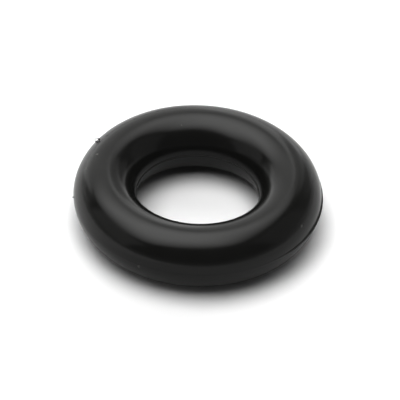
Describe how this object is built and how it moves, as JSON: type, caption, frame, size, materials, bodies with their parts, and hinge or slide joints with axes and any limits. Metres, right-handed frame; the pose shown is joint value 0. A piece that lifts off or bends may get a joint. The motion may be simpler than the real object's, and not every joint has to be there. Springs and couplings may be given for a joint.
{
  "type": "o-ring",
  "caption": "Fat black rubber O-ring with a round section and a fine mould parting line, for sealing a shaft or spigot in its groove.",
  "frame": {"origin": "centre of the hole, on the parting plane halfway up the ring", "axes": "+Z along the ring's axis, upwards as the ring lies flat; +Y away from the picture's camera; +X to its right"},
  "size_m": [0.0214, 0.0214, 0.0054],
  "materials": {
    "rubber": "smooth moulded, satin"
  },
  "bodies": {
    "root": {"o_ring": "rubber"}
  },
  "joints": []
}
